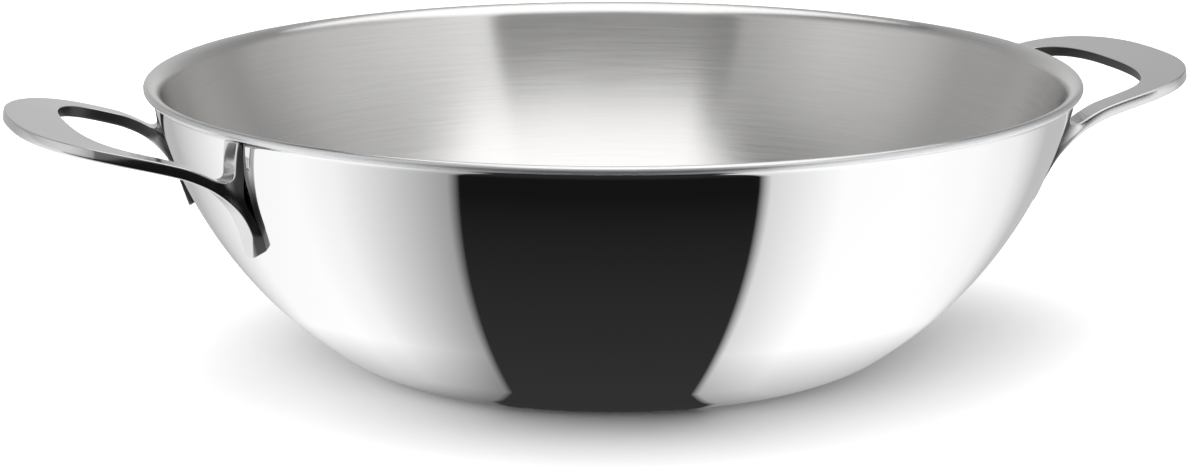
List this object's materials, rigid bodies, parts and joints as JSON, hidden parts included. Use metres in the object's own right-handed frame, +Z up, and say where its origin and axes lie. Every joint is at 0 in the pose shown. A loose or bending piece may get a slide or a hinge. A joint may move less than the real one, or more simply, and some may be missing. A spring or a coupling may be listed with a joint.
{
  "type": "wok",
  "caption": "Flat-based wok with a flared lip, clad stainless bowl polished outside and satin inside, and cast loop handles welded on opposite sides by forked feet.",
  "frame": {"origin": "middle of the flat underside, on the surface that the wok stands on", "axes": "+Z up along the bowl's axis, +X towards the right handle with the handles on the X axis"},
  "size_m": [0.416, 0.32, 0.098],
  "materials": {
    "mirror_steel": "mirror-polished stainless steel",
    "core_aluminium": "rolled aluminium, seen only at the rim's cut edge",
    "satin_steel": "stainless steel, satin-brushed round the bowl",
    "cast_steel": "cast stainless steel, fine satin polish",
    "weld_steel": "weld metal, hidden under the handle's feet"
  },
  "bodies": {
    "root": {"outer_skin": "mirror_steel", "core_layer": "core_aluminium", "inner_skin": "satin_steel", "right_handle": "cast_steel", "right_rear_upper_weld": "weld_steel", "right_rear_lower_weld": "weld_steel", "right_front_upper_weld": "weld_steel", "right_front_lower_weld": "weld_steel", "left_handle": "cast_steel", "left_rear_upper_weld": "weld_steel", "left_rear_lower_weld": "weld_steel", "left_front_upper_weld": "weld_steel", "left_front_lower_weld": "weld_steel"}
  },
  "joints": []
}
